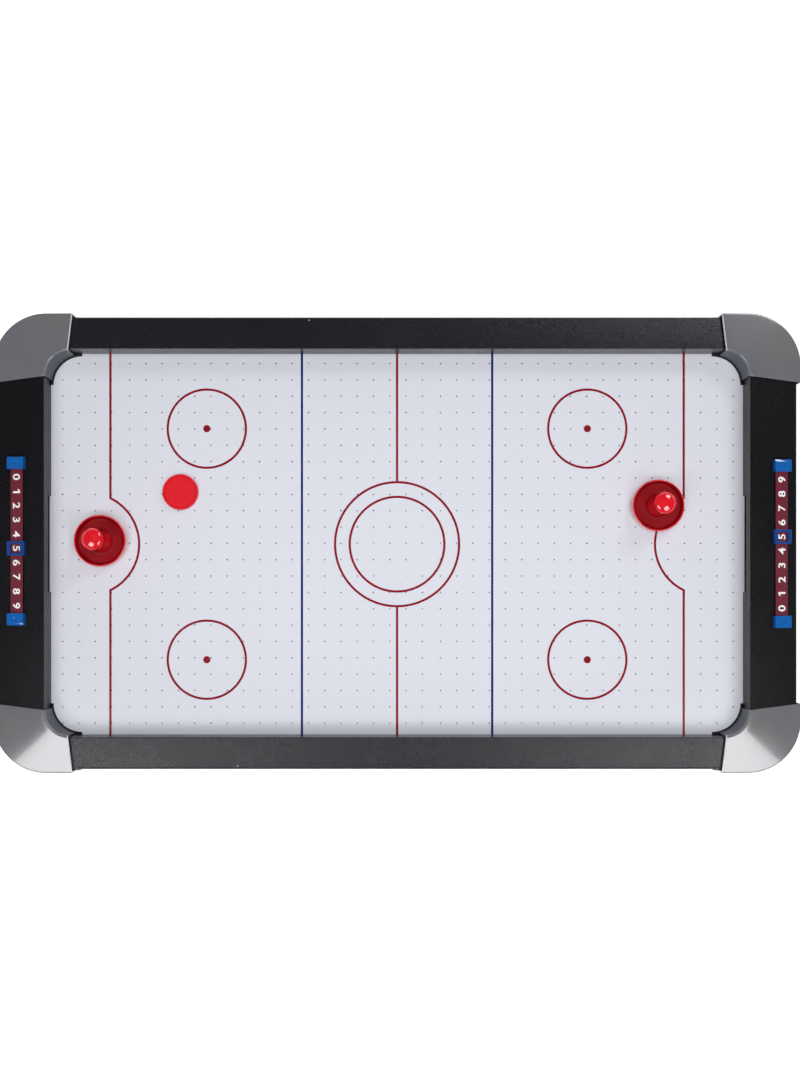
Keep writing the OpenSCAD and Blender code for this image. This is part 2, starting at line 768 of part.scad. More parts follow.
// Fan rotor: cup over the motor, shaft, and blades trimmed to the duct
module fan_rotor() {
  low = z_floor + hub_t + 1;
  high = z_floor + fan_h - 2;
  mid = (low + high) / 2;
  color(deep_black) union() {
    difference() {
      rod(cup_r, low, high, fn_round);
      rod(cup_r - cup_t, low - cut, high - cup_t, fn_round);
    }
    rod(shaft_r, z_floor + 1.5, high - 1, fn_small);
    intersection() {
      for (i = [0:fan_blades - 1]) rotate(i * 360 / fan_blades)
        translate([(cup_r + fan_bore) / 2, 0, mid]) rotate([blade_pitch, 0, 0])
          cube([fan_bore - cup_r + 2, blade[0], blade[1]], center = true);
      difference() {
        rod(fan_bore - duct_gap, low, high, fn_arc);
        rod(cup_r - cup_t / 2, low - cut, high + cut, fn_round);
      }
    }
  }
}

// Intake grille under the base panel: rings and cross bars in a square plate
module fan_grille() {
  half = fan_size / 2 + 1;
  color(deep_black) difference() {
    union() {
      difference() {
        block([-half, -half, grille_z], [half, half, z_panel - fit]);
        rod(fan_bore, grille_z - cut, z_panel + cut, fn_arc);
      }
      for (r = grille_rings) difference() {
        rod(r + grille_bar, grille_z, z_panel - fit, fn_round);
        rod(r - grille_bar, grille_z - cut, z_panel + cut, fn_round);
      }
      for (t = [0, 90]) rotate(t)
        block([-fan_bore - cut, -grille_bar, grille_z], [fan_bore + cut, grille_bar, z_panel - fit]);
    }
    for (sx = [-1, 1], sy = [-1, 1]) translate([sx * fan_hole, sy * fan_hole, 0])
      rod(fan_screw_bore, grille_z - cut, z_panel + cut, fn_small);
  }
}

module fan_screws() {
  color(steel) for (sx = [-1, 1], sy = [-1, 1])
    translate([sx * fan_hole, sy * fan_hole, grille_z])
      screw(fan_screw_r, fan_screw_head[0], fan_screw_head[1], 24);
}

// Switch bezel: a frame outside the back rail and a body through it, bored for the rocker's pivots
module switch_bezel() {
  deep = bezel_body[2];
  color(deep_black) translate([switch_x, back_y, power_z]) difference() {
    union() {
      block([-bezel[0] / 2, fit, -bezel[1] / 2], [bezel[0] / 2, bezel[2], bezel[1] / 2]);
      block([-bezel_body[0] / 2, -deep, -bezel_body[1] / 2],
        [bezel_body[0] / 2, cut, bezel_body[1] / 2]);
    }
    block([-bezel_open[0] / 2, -deep + 2, -bezel_open[1] / 2],
      [bezel_open[0] / 2, bezel[2] + cut, bezel_open[1] / 2]);
    translate([-bezel_body[0], -pivot_in, 0]) rotate([0, 90, 0])
      rod(pivot_r + pivot_gap, 0, 2 * bezel_body[0], fn_small);
  }
}

// Rocker with a shallow V front, kept inside a circle about its pivot so that it clears the bezel
module switch_rocker() {
  tip = rocker_nose + rocker_r * tan(10);
  color(deep_black) translate([switch_x, back_y - pivot_in, power_z]) rotate([rocker_tilt, 0, 0])
    union() {
      intersection() {
        rotate([0, 90, 0]) rod(rocker_r, -rocker_w / 2, rocker_w / 2, fn_round);
        rotate([90, 0, 90]) linear_extrude(rocker_w, center = true)
          polygon([[-rocker_back, -rocker_r], [-rocker_back, rocker_r], [tip, rocker_r],
            [rocker_nose, 0], [tip, -rocker_r]]);
      }
      rotate([0, 90, 0])
        rod(pivot_r, -rocker_w / 2 - pivot_l, rocker_w / 2 + pivot_l, fn_small);
    }
}

// Round power inlet with a centre pin
module power_jack() {
  color(deep_black) translate([jack_x, back_y, power_z]) rotate([-90, 0, 0]) union() {
    difference() {
      union() {
        rod(jack_r + jack_lip, fit, jack_lip, fn_round);
        rod(jack_r, -jack_depth, cut, fn_round);
      }
      rod(jack_bore, 4 - jack_depth, 3, fn_small);
    }
    rod(jack_pin_r, 3 - jack_depth, -1, fn_small);
  }
}

// One wire along a list of points
module wire(points) {
  for (i = [0:len(points) - 2]) {
    step = points[i + 1] - points[i];
    translate(points[i]) rotate([0, acos(step[2] / norm(step)), atan2(step[1], step[0])])
      cylinder(r = wire_r, h = norm(step), $fn = fn_small);
    translate(points[i]) sphere(r = wire_r * wire_bulge, $fn = fn_small);
  }
}

// Two wires: inlet to switch to fan, and inlet straight to fan, through the back rail's inner wall
module wiring() {
  inside = field_w / 2 - 12;
  rest_z = z_floor + 1.3;
  fan_edge = fan_size / 2 + 0.4;
  rear = back_y - jack_depth - wire_r * wire_bulge - fit;
  color(wire_red) union() {
    wire([[jack_x - 2, rear, power_z], [jack_x - 2, rear - 8, power_z - 3],
      [switch_x + 3, rear - 8, power_z - 3],
      [switch_x + 3, rear, power_z]]);
    wire([[switch_x - 3, rear, power_z], [switch_x - 1.6, rear - 10, wire_hole_z],
      [switch_x - 1.6, inside, wire_hole_z],
      [switch_x - 8, inside - 20, rest_z], [60, 30, rest_z], [fan_edge, 28, rest_z + 4]]);
  }
  color(deep_black) wire([[jack_x + 2, rear, power_z], [jack_x + 2, rear - 11, wire_hole_z],
    [switch_x + 1.6, rear - 14, wire_hole_z], [switch_x + 1.6, inside, wire_hole_z],
    [switch_x - 4, inside - 24, rest_z], [62, 24, rest_z], [fan_edge, 22, rest_z + 4]]);
}

playfield();
bottom_panel();
side_rail_front();
side_rail_back();
end_rail_left();
end_rail_right();
corner_bracket_fl();
corner_bracket_fr();
corner_bracket_bl();
corner_bracket_br();
corner_cap_fl();
corner_cap_fr();
corner_cap_bl();
corner_cap_br();
foot_fl();
foot_fr();
foot_bl();
foot_br();
foot_pad_fl();
foot_pad_fr();
foot_pad_bl();
foot_pad_br();
corner_screws();
support_posts();
post_screws();
goal_box_left();
goal_box_right();
goal_box_screws();
score_strip_left();
score_strip_right();
score_end_left_front();
score_end_left_back();
score_end_right_front();
score_end_right_back();
score_slider_left();
score_slider_right();
mallet_left();
mallet_right();
mallet_pad_left();
mallet_pad_right();
puck();
fan_housing();
fan_motor();
fan_rotor();
fan_grille();
fan_screws();
switch_bezel();
switch_rocker();
power_jack();
wiring();
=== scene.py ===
"""Looks of the tabletop air hockey game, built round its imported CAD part.

Metres, in the part's frame. Each piece rides on its CAD body and says which CAD nodes it replaces.
"""

import json
import math

import bmesh
import bpy
from mathutils import Matrix, Vector


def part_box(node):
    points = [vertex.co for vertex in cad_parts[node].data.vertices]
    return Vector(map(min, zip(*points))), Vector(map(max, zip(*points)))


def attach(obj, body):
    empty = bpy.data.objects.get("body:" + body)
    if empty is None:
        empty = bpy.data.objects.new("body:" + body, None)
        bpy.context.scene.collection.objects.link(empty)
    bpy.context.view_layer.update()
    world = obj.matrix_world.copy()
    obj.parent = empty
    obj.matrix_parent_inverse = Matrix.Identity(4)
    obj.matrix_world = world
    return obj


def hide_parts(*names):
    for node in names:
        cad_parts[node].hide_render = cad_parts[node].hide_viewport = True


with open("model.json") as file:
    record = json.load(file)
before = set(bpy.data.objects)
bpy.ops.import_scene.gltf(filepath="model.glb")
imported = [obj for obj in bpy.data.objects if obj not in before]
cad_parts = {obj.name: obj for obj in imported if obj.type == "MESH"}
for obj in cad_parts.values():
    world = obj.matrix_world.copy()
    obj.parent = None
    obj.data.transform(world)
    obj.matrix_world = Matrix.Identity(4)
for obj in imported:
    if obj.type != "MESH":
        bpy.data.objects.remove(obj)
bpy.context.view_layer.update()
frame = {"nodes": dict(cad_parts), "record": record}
nodes = frame["nodes"]
body_of = {n: b for b, members in frame["record"]["behaviour"]["bodies"].items() for n in members}

MM = 0.001
CORNERS = {"fl": (-1, -1), "fr": (1, -1), "bl": (-1, 1), "br": (1, 1)}
ENDS = {"left": -1, "right": 1}

# Driving sizes, read from the CAD part
FIELD_LOW, FIELD_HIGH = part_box("playfield")
SIDE_LOW, SIDE_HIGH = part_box("side_rail_back")
END_LOW, END_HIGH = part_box("end_rail_right")
CAP_LOW, CAP_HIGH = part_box("corner_cap_br")
HALF_L, HALF_W = END_LOW.x, SIDE_LOW.y
Z_FIELD, Z_TOP, Z_RAIL = FIELD_HIGH.z, SIDE_HIGH.z, SIDE_LOW.z
SIDE_W, END_W = SIDE_HIGH.y - HALF_W, END_HIGH.x - HALF_L
CAP_A, CAP_B = CAP_HIGH.x - HALF_L, CAP_HIGH.y - HALF_W
FALL_ANGLE = math.radians(6)
FALL = math.tan(FALL_ANGLE)
CORNER_R = 60 * MM
CAP_R, CAP_C = 28 * MM, 30 * MM
CAP_SHELL = 1.9 * MM
GOAL_W, GOAL_H = 111 * MM, 12 * MM
GROOVE = 6 * MM
DIGIT_PITCH = 16.2 * MM

# Heights of the caps' crest, the guards inside the corners and the cheeks outside the rails
Z_CREST = Z_TOP + 3 * MM
Z_GUARD = Z_FIELD + 2 * MM
Z_CHEEK = Z_RAIL + 63 * MM
GUARD_R, GUARD_C, WALL_FOOT_R = 33 * MM, 36 * MM, 34.4 * MM

# Distances of a cap's two seams from the rink's corner, at the seam's inner and outer end
SIDE_SEAM = (28 * MM, 32 * MM)
END_SEAM = (31 * MM, 38 * MM)
SEAM_BACK = 2 * MM
SEAM_SLOPE = (SIDE_SEAM[1] - SIDE_SEAM[0]) / (CAP_B + SEAM_BACK)


# ---------------------------------------------------------------- node trees

class Tree:
    """A material's node tree with short calls for the nodes used here."""

    def __init__(self, name):
        self.material = bpy.data.materials.new(name)
        self.material.use_nodes = True
        self.nodes = self.material.node_tree.nodes
        self.links = self.material.node_tree.links
        self.shader = self.nodes["Principled BSDF"]
        self.place = self.nodes.new("ShaderNodeTexCoord").outputs["Object"]

    def put(self, socket, value):
        """Links a socket or sets a plain value."""
        if isinstance(value, bpy.types.NodeSocket):
            self.links.new(value, socket)
        elif isinstance(value, (tuple, list)) and len(value) == 3 and socket.type == "RGBA":
            socket.default_value = (*value, 1)
        else:
            socket.default_value = value

    def math(self, operation, *values):
        node = self.nodes.new("ShaderNodeMath")
        node.operation = operation
        for socket, value in zip(node.inputs, values):
            self.put(socket, value)
        return node.outputs[0]

    def add(self, *values):
        total = values[0]
        for value in values[1:]:
            total = self.math("ADD", total, value)
        return total

    def most(self, *values):
        top = values[0]
        for value in values[1:]:
            top = self.math("MAXIMUM", top, value)
        return top

    def noise(self, scale, detail=2.0, roughness=0.5, stretch=(1, 1, 1)):
        mapping = self.nodes.new("ShaderNodeMapping")
        mapping.inputs["Scale"].default_value = stretch
        self.put(mapping.inputs["Vector"], self.place)
        node = self.nodes.new("ShaderNodeTexNoise")
        self.put(node.inputs["Vector"], mapping.outputs[0])
        node.inputs["Scale"].default_value = scale
        node.inputs["Detail"].default_value = detail
        node.inputs["Roughness"].default_value = roughness
        return node.outputs["Fac"]

    def ramp(self, value, low, high, out_low, out_high):
        node = self.nodes.new("ShaderNodeMapRange")
        for key, v in (("Value", value), ("From Min", low), ("From Max", high),
                       ("To Min", out_low), ("To Max", out_high)):
            self.put(node.inputs[key], v)
        return node.outputs[0]

    def mix(self, factor, a, b):
        node = self.nodes.new("ShaderNodeMix")
        node.data_type = "RGBA"
        for key, v in ((0, factor), (6, a), (7, b)):
            self.put(node.inputs[key], v)
        return node.outputs[2]

    def bump(self, height, strength, distance):
        node = self.nodes.new("ShaderNodeBump")
        node.inputs["Strength"].default_value = strength
        node.inputs["Distance"].default_value = distance
        self.put(node.inputs["Height"], height)
        self.put(self.shader.inputs["Normal"], node.outputs[0])

    def set(self, **values):
        for key, value in values.items():
            self.put(self.shader.inputs[key.replace("_", " ").title().replace("Ior", "IOR")], value)
        return self.material


def plastic_tree(name, colour, roughness, grain=0.0, grain_size=900, speckle=0.04, coat=0.0,
                 wear=0.06, shine=0.5):
    """Moulded plastic: a faint mottling, uneven gloss, and a fine grain where it has one."""
    t = Tree(name)
    cloud = t.noise(14, 4)
    fine = t.noise(grain_size, 2, 0.6)
    darker = tuple(c * (1 - speckle) for c in colour)
    lighter = tuple(min(c * (1 + speckle) + 0.0015, 1) for c in colour)
    t.set(base_color=t.mix(fine, darker, lighter), coat_weight=coat, coat_roughness=0.06,
          specular_ior_level=shine,
          roughness=t.ramp(t.add(cloud, t.math("MULTIPLY", fine, 0.6)), 0.5, 1.1,
                           max(roughness - wear, 0.02), roughness + wear))
    if grain:
        t.bump(fine, grain, 0.0004)
    return t


def plastic(*look, **details):
    return plastic_tree(*look, **details).material


def field_material():
    """Glossy white sheet with the rink's red and blue lines, worked out from the position."""
    t = Tree("field_print")
    split = t.nodes.new("ShaderNodeSeparateXYZ")
    t.put(split.inputs[0], t.place)
    x, y = split.outputs[0], split.outputs[1]
    ax, ay = t.math("ABSOLUTE", x), t.math("ABSOLUTE", y)
    half_line = 1.35 * MM

    def line(value, at):
        return t.math("COMPARE", value, at, half_line)

    def distance(dx, dy):
        return t.math("SQRT", t.add(t.math("POWER", dx, 2), t.math("POWER", dy, 2)))

    def both(a, b):
        return t.math("MULTIPLY", a, b)

    goal_at, blue_at = 331.5 * MM, 110 * MM
    crease_r, crease_out = 59.2 * MM, 33.2 * MM
    outer_r, inner_r = 71.7 * MM, 54.7 * MM
    spot_x, spot_y, spot_ring, spot_r = 220 * MM, 133.6 * MM, 45.2 * MM, 4.2 * MM
    middle = distance(x, y)
    crease_c = goal_at - crease_out + crease_r
    crease_half = math.sqrt(crease_r ** 2 - (crease_r - crease_out) ** 2)
    crease = distance(t.math("SUBTRACT", ax, crease_c), y)
    spot = distance(t.math("SUBTRACT", ax, spot_x), t.math("SUBTRACT", ay, spot_y))
    red = t.most(
        both(line(ax, goal_at), t.math("GREATER_THAN", ay, crease_half)),
        both(line(crease, crease_r), t.math("LESS_THAN", ax, goal_at + half_line)),
        both(line(ax, 0.0), t.math("GREATER_THAN", middle, outer_r)),
        line(middle, outer_r), line(middle, inner_r),
        line(spot, spot_ring), t.math("LESS_THAN", spot, spot_r))
    blue = line(ax, blue_at)
    cloud = t.noise(3.5, 3)
    white_low, white_high = (0.715, 0.722, 0.790), (0.745, 0.752, 0.815)
    red_ink, blue_ink = (0.26, 0.004, 0.018), (0.008, 0.028, 0.16)
    white = t.mix(cloud, white_low, white_high)
    colour = t.mix(blue, t.mix(red, white, red_ink), blue_ink)
    ripple = t.noise(9, 2)
    t.bump(ripple, 0.12, 0.002)
    return t.set(base_color=colour, roughness=t.ramp(t.noise(60, 3), 0.3, 0.7, 0.16, 0.24),
                 specular_ior_level=0.4)


def board_material():
    """Brown hardboard with short fibres."""
    t = Tree("hardboard")
    fibre = t.noise(160, 5, 0.7, (1, 4, 1))
    t.bump(fibre, 0.3, 0.0003)
    return t.set(base_color=t.mix(fibre, (0.16, 0.09, 0.045), (0.30, 0.19, 0.10)), roughness=0.75)


def metal_material(name, colour, roughness):
    """Plated or wound metal with fine streaks."""
    t = Tree(name)
    streak = t.noise(500, 2, 0.5, (1, 1, 8))
    t.bump(streak, 0.2, 0.0001)
    uneven = t.ramp(streak, 0.3, 0.7, roughness, roughness + 0.15)
    return t.set(base_color=colour, metallic=1.0, roughness=uneven)


def felt_material():
    t = Tree("felt")
    fuzz = t.noise(2500, 3, 0.8)
    t.bump(fuzz, 0.8, 0.0006)
    fibres = t.mix(fuzz, (0.008, 0.008, 0.009), (0.03, 0.03, 0.032))
    return t.set(base_color=fibres, roughness=0.95, sheen_weight=0.4)


def cap_material():
    """Glossy grey plastic, with a painted highlight along the edge beside each long rail and
    patches of painted warm reflection.
    """
    painted_reflection, painted_highlight, painted_highlight_width = (0.168, 0.160, 0.160), (0.62, 0.62, 0.64), 1.3 * MM
    t = plastic_tree("cap_grey", (0.150, 0.153, 0.170), 0.15, speckle=0.03, coat=1.0, wear=0.03,
                     shine=1.0)
    base = t.shader.inputs["Base Color"].links[0].from_socket
    split = t.nodes.new("ShaderNodeSeparateXYZ")
    t.put(split.inputs[0], t.place)
    a = t.math("SUBTRACT", t.math("ABSOLUTE", split.outputs[0]), HALF_L)
    b = t.math("SUBTRACT", t.math("ABSOLUTE", split.outputs[1]), HALF_W)
    past = t.add(a, t.math("MULTIPLY", t.math("ADD", b, SEAM_BACK), SEAM_SLOPE), SIDE_SEAM[0])
    # Painted highlight: a pale band along each side seam, standing in for light caught by the cap's
    # edge.
    strip = t.math("LESS_THAN", past, painted_highlight_width)
    # Painted reflection: noise patches of warm grey standing in for the room seen in the glossy
    # top.
    with_painted_reflection = t.mix(t.ramp(t.noise(16, 1), 0.46, 0.70, 0, 1), base, painted_reflection)
    return t.set(base_color=t.mix(strip, with_painted_reflection, painted_highlight))


RAIL = plastic("rail_black", (0.0105, 0.0098, 0.0140), 0.26, grain=0.8, grain_size=750, speckle=0.4,
               shine=0.5)
# Darker copy of the rail black for the end rails: painted shade, for the weaker light they get from
# the sides.
END_RAIL_SHADED = plastic("end_rail_black", (0.0058, 0.0055, 0.0068), 0.30, grain=0.7, grain_size=750,
                   speckle=0.4, shine=0.22)
BRACKET = plastic("bracket_black", (0.008, 0.008, 0.010), 0.45, grain=0.25, grain_size=1800,
                  speckle=0.2)
# Darker copy of the cap grey for the caps' inner walls: painted shade.
CAP_WALL_SHADED = plastic("cap_wall", (0.075, 0.080, 0.098), 0.35, speckle=0.03, shine=0.25)
CAP = cap_material()
BLUE = plastic("counter_blue", (0.002, 0.112, 0.42), 0.13, speckle=0.03, coat=0.6, wear=0.03,
               shine=0.9)
SLIDER = plastic("slider_blue", (0.005, 0.050, 0.24), 0.22, speckle=0.03, coat=0.3)
MAROON = plastic("strip_maroon", (0.150, 0.017, 0.030), 0.32, speckle=0.05)
DIGIT = plastic("digit_white", (0.92, 0.92, 0.93), 0.4, speckle=0.02)
RED = plastic("mallet_red", (0.78, 0.003, 0.014), 0.10, speckle=0.02, coat=1.0, wear=0.03,
              shine=0.8)
# Darker copy of the mallet red for the inside of the dish: painted shade of the deep cup.
DISH_SHADED = plastic("dish_red", (0.27, 0.003, 0.008), 0.35, speckle=0.04, shine=0.15)
CORE = plastic("sheet_core", (0.10, 0.10, 0.11), 0.8)
PUCK = plastic("puck_red", (0.74, 0.012, 0.024), 0.36, speckle=0.03, shine=0.2)
FOOT = plastic("foot_black", (0.012, 0.012, 0.013), 0.5, grain=0.3, grain_size=1200)
RUBBER = plastic("pad_rubber", (0.022, 0.022, 0.023), 0.85, grain=0.5, grain_size=2200,
                 speckle=0.15)
FAN = plastic("fan_black", (0.012, 0.012, 0.014), 0.38, grain=0.15)
WIRE = plastic("wire_red", (0.30, 0.01, 0.01), 0.4)
DUST = plastic("dust_white", (0.7, 0.7, 0.72), 0.8)
FIELD = field_material()
BOARD = board_material()
STEEL = metal_material("screw_steel", (0.56, 0.56, 0.58), 0.28)
COPPER = metal_material("motor_copper", (0.55, 0.24, 0.11), 0.35)
FELT = felt_material()


# ---------------------------------------------------------------- mesh tools

def solid(name, verts, faces):
    """A mesh object from points and faces, with its normals made consistent."""
    mesh = bpy.data.meshes.new(name)
    mesh.from_pydata([tuple(v) for v in verts], [], faces)
    tidy = bmesh.new()
    tidy.from_mesh(mesh)
    bmesh.ops.recalc_face_normals(tidy, faces=tidy.faces)
    tidy.to_mesh(mesh)
    tidy.free()
    obj = bpy.data.objects.new(name, mesh)
    bpy.context.scene.collection.objects.link(obj)
    return obj


def finish_piece(obj, body, material, *replaced, slot=None, edge=0.0, segments=2, sharp=30,
                 moved=None):
    """Bevels, smooths, paints and places a piece, and says which CAD nodes it stands for."""
    if moved is not None:
        obj.data.transform(moved)
        if moved.determinant() < 0:
            obj.data.flip_normals()
    if material is not None:
        obj.data.materials.clear()
        obj.data.materials.append(material)
    for p in obj.data.polygons:
        p.use_smooth = True
    obj.data.set_sharp_from_angle(angle=math.radians(sharp))
    if edge:
        bevel = obj.modifiers.new("edge", "BEVEL")
        bevel.width, bevel.segments = edge, segments
        bevel.limit_method, bevel.angle_limit = "ANGLE", math.radians(sharp)
        bevel.harden_normals = True
        bevel.use_clamp_overlap = True
    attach(obj, body)
    if replaced:
        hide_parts(*replaced)
    return obj


def arc(cx, cy, r, start, end, step=4):
    """Points of an arc, angles in degrees, both ends included."""
    count = max(2, math.ceil(abs(end - start) / step) + 1)
    angles = [math.radians(start + (end - start) * i / (count - 1)) for i in range(count)]
    return [(cx + r * math.cos(a), cy + r * math.sin(a)) for a in angles]


def filleted(corners, step=10):
    """Outline with each corner (x, y, radius) rounded by an arc."""
    out, n = [], len(corners)
    for i, (x, y, r) in enumerate(corners):
        p = Vector((x, y))
        u = (Vector(corners[i - 1][:2]) - p).normalized()
        v = (Vector(corners[(i + 1) % n][:2]) - p).normalized()
        if r <= 0:
            out.append((x, y))
            continue
        half = u.angle(v) / 2
        centre = p + (u + v).normalized() * (r / math.sin(half))
        a, b = p + u * (r / math.tan(half)) - centre, p + v * (r / math.tan(half)) - centre
        turn = math.degrees(a.angle_signed(b))
        begin = math.degrees(math.atan2(a.y, a.x))
        out += arc(centre.x, centre.y, r, begin, begin - turn, step)
    return out


def prism(name, outline, low, high, matrix=None):
    """Solid over a plan outline, from low to high along the plan's normal."""
    n = len(outline)
    verts = [(x, y, z) for z in (low, high) for x, y in outline]
    faces = [list(range(n))[::-1], list(range(n, 2 * n))]
    faces += [[i, (i + 1) % n, n + (i + 1) % n, n + i] for i in range(n)]
    obj = solid(name, verts, faces)
    if matrix is not None:
        obj.data.transform(matrix)
        if matrix.determinant() < 0:
            obj.data.flip_normals()
    return obj


def box_mesh(name, low, high):
    plan = [(low[0], low[1]), (high[0], low[1]), (high[0], high[1]), (low[0], high[1])]
    return prism(name, plan, low[2], high[2])


def joined(name, parts):
    """One object from several closed ones, which are removed."""
    out = bmesh.new()
    for o in parts:
        out.from_mesh(o.data)
        bpy.data.objects.remove(o)
    mesh = bpy.data.meshes.new(name)
    out.to_mesh(mesh)
    out.free()
    obj = bpy.data.objects.new(name, mesh)
    bpy.context.scene.collection.objects.link(obj)
    return obj


def carve(obj, tools):
    """Cuts each tool out of obj, then removes the tools."""
    for tool in tools:
        cut = obj.modifiers.new("cut", "BOOLEAN")
        cut.operation, cut.solver, cut.object = "DIFFERENCE", "EXACT", tool
        bpy.context.view_layer.update()
        depsgraph = bpy.context.evaluated_depsgraph_get()
        mesh = bpy.data.meshes.new_from_object(obj.evaluated_get(depsgraph))
        obj.modifiers.clear()
        obj.data = mesh
        bpy.data.objects.remove(tool)
    return obj


def lathe(name, profile, centre, base, segments=128):
    """Solid of revolution about a vertical axis; the profile runs from axis to axis."""
    turns = [2 * math.pi * i / segments for i in range(segments)]
    ring = [(math.cos(turn), math.sin(turn)) for turn in turns]
    verts, faces, rows = [], [], []
    for r, z in profile:
        if r < 1e-7:
            rows.append([len(verts)] * segments)
            verts.append((centre[0], centre[1], base + z))
        else:
            rows.append(list(range(len(verts), len(verts) + segments)))
            verts += [(centre[0] + r * c, centre[1] + r * s, base + z) for c, s in ring]
    for low, high in zip(rows, rows[1:]):
        for i in range(segments):
            j = (i + 1) % segments
            face = [low[i], low[j], high[j], high[i]]
            faces.append(list(dict.fromkeys(face)))
    return solid(name, verts, faces)


def spline(points, steps=5):
    """Catmull-Rom curve through the points."""
    p = [Vector(q) for q in points]
    p = [2 * p[0] - p[1]] + p + [2 * p[-1] - p[-2]]
    out = []
    for a, b, c, d in zip(p, p[1:], p[2:], p[3:]):
        for i in range(steps):
            t = i / steps
            q = 0.5 * (2 * b + (c - a) * t + (2 * a - 5 * b + 4 * c - d) * t * t
                       + (3 * b - a - 3 * c + d) * t ** 3)
            out.append((max(q.x, 0.0), q.y))
    return out + [(p[-2].x, p[-2].y)]


def refined(node, material, edge, segments=2, sharp=30, merge=True, tools=()):
    """A CAD node's own shape with its corners softened and any tools cut out of it."""
    copy = bmesh.new()
    copy.from_mesh(nodes[node].data)
    bmesh.ops.remove_doubles(copy, verts=copy.verts, dist=2e-6)
    if merge:
        bmesh.ops.dissolve_limit(copy, angle_limit=math.radians(0.5), verts=copy.verts,
                                 edges=copy.edges)
    mesh = bpy.data.meshes.new(node + "_soft")
    copy.to_mesh(mesh)
    copy.free()
    obj = bpy.data.objects.new(node + "_soft", mesh)
    bpy.context.scene.collection.objects.link(obj)
    carve(obj, tools)
    return finish_piece(obj, body_of[node], material, node, edge=edge, segments=segments,
                        sharp=sharp)


def corner_matrix(sx, sy):
    """From the corner frame (a outwards along X, b outwards along Y) to the table."""
    return Matrix.Translation((sx * HALF_L, sy * HALF_W, 0)) @ Matrix.Diagonal((sx, sy, 1, 1))


# ---------------------------------------------------------------- playing surface

def hole_columns():
    """Air hole columns: three drilling groups with slightly wider gaps between them."""
    pitch, wide, groups, off_middle = 18.8 * MM, 21.0 * MM, (4, 19, 19), 1.0 * MM
    xs, x = [], 0.0
    for g, count in enumerate(groups):
        x += wide - pitch if g else 0
        for _ in range(count):
            xs.append(x)
            x += pitch
    middle = (xs[0] + xs[-1]) / 2 - off_middle
    return [v - middle for v in xs]


def hole_rows():
    """Air hole rows, evenly spaced and a little off the middle."""
    pitch, count, off_middle = 18.9 * MM, 23, 1.0 * MM
    return [(j - (count - 1) / 2) * pitch + off_middle for j in range(count)]


def playing_surface():
    """The white sheet with every air hole as a real hole."""
    r, spokes, tuck_x, tuck_y = 0.78 * MM, 16, 1.8 * MM, 5.5 * MM
    xs, ys = hole_columns(), hole_rows()
    edge_x, edge_y = HALF_L + tuck_x, HALF_W + tuck_y
    x_cuts = [-edge_x] + [(a + b) / 2 for a, b in zip(xs, xs[1:])] + [edge_x]
    y_cuts = [-edge_y] + [(a + b) / 2 for a, b in zip(ys, ys[1:])] + [edge_y]
    angles = [2 * math.pi * k / spokes for k in range(spokes)]
    unit = [(math.cos(a), math.sin(a)) for a in angles]
    square = [(c / max(abs(c), abs(s)), s / max(abs(c), abs(s))) for c, s in unit]
    verts, faces, known = [], [], {}

    def vert(x, y, z):
        key = (round(x, 7), round(y, 7), round(z, 7))
        if key not in known:
            known[key] = len(verts)
            verts.append((x, y, z))
        return known[key]

    low, high = FIELD_LOW.z, FIELD_HIGH.z
    for i, cx in enumerate(xs):
        for j, cy in enumerate(ys):
            rim, frame_ring = {}, {}
            for z in (low, high):
                rim[z] = [vert(cx + r * c, cy + r * s, z) for c, s in unit]
                frame_ring[z] = [vert(
                    cx + ex * ((x_cuts[i + 1] - cx) if ex > 0 else (cx - x_cuts[i])),
                    cy + ey * ((y_cuts[j + 1] - cy) if ey > 0 else (cy - y_cuts[j])), z)
                    for ex, ey in square]
            for k in range(spokes):
                m = (k + 1) % spokes
                faces.append([rim[high][k], frame_ring[high][k], frame_ring[high][m], rim[high][m]])
                faces.append([rim[low][m], frame_ring[low][m], frame_ring[low][k], rim[low][k]])
                faces.append([rim[high][m], rim[low][m], rim[low][k], rim[high][k]])
    obj = solid("rink_sheet", verts, faces)
    obj.data.materials.append(FIELD)
    obj.data.materials.append(CORE)
    for p in obj.data.polygons:
        is_hole_wall = p.index % 3 == 2
        p.material_index = 1 if is_hole_wall else 0
    finish_piece(obj, "table", None, "playfield")


# ---------------------------------------------------------------- rails

def rail_outline(width):
    """Rail section: r from the inner face outwards, and z."""
    return filleted([(0, Z_RAIL, 0.6 * MM), (width, Z_RAIL, 1.0 * MM),
                     (width, Z_TOP - width * FALL, 3.2 * MM), (0, Z_TOP, 0.8 * MM)], step=9)


def seam_groove(sx, sy):
    """Tool for the dark groove across a side rail, just outside the cap's slanting seam."""
    wide, deep, past = 2.2 * MM, 2.2 * MM, 3 * MM
    line = [(-SIDE_SEAM[0] - SEAM_SLOPE * (b + SEAM_BACK), b) for b in (-past, SIDE_W + past)]
    plan = [line[0], line[1], (line[1][0] - wide, line[1][1]), (line[0][0] - wide, line[0][1])]
    tool = prism("groove", plan, 0, 20 * MM)
    for v in tool.data.vertices:
        v.co.z += Z_TOP - deep - v.co.y * FALL
    tool.data.transform(corner_matrix(sx, sy))
    if sx * sy < 0:
        tool.data.flip_normals()
    return tool


